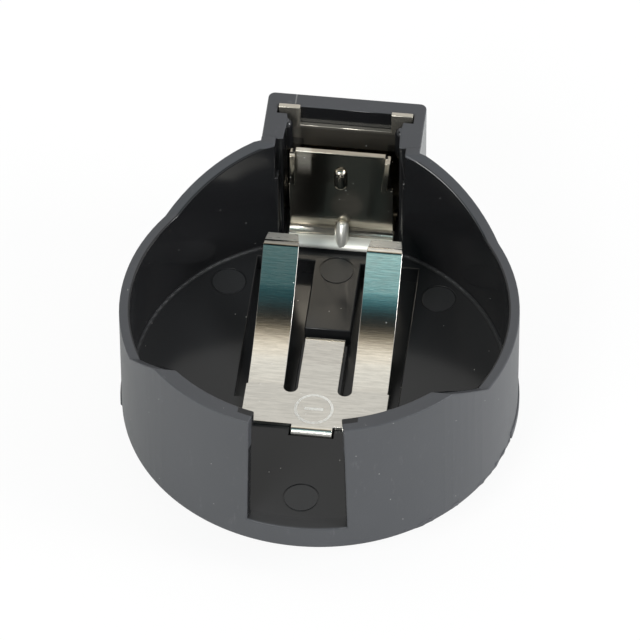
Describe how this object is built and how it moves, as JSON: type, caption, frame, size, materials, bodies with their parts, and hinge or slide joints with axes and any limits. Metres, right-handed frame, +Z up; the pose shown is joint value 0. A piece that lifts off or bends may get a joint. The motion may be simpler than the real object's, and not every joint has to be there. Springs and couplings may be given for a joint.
{
  "type": "coin cell holder",
  "caption": "Round open coin cell holder for a circuit board, with a finger notch, front lips, sprung floor fingers and a contact tower.",
  "frame": {"origin": "centre of the round cup on the underside that sits on the circuit board", "axes": "+Z up out of the board, +Y from the finger notch to the contact tower, +X to the right seen from the notch"},
  "size_m": [0.0262, 0.0295, 0.0146],
  "materials": {
    "housing_plastic": "satin moulded black",
    "positive_sheet": "nickel plated sheet, fine rolled grain",
    "negative_sheet": "nickel plated sheet, fine brushed grain across the fingers"
  },
  "bodies": {
    "root": {"housing": "housing_plastic", "positive_contact": "positive_sheet", "negative_contact": "negative_sheet"}
  },
  "joints": []
}
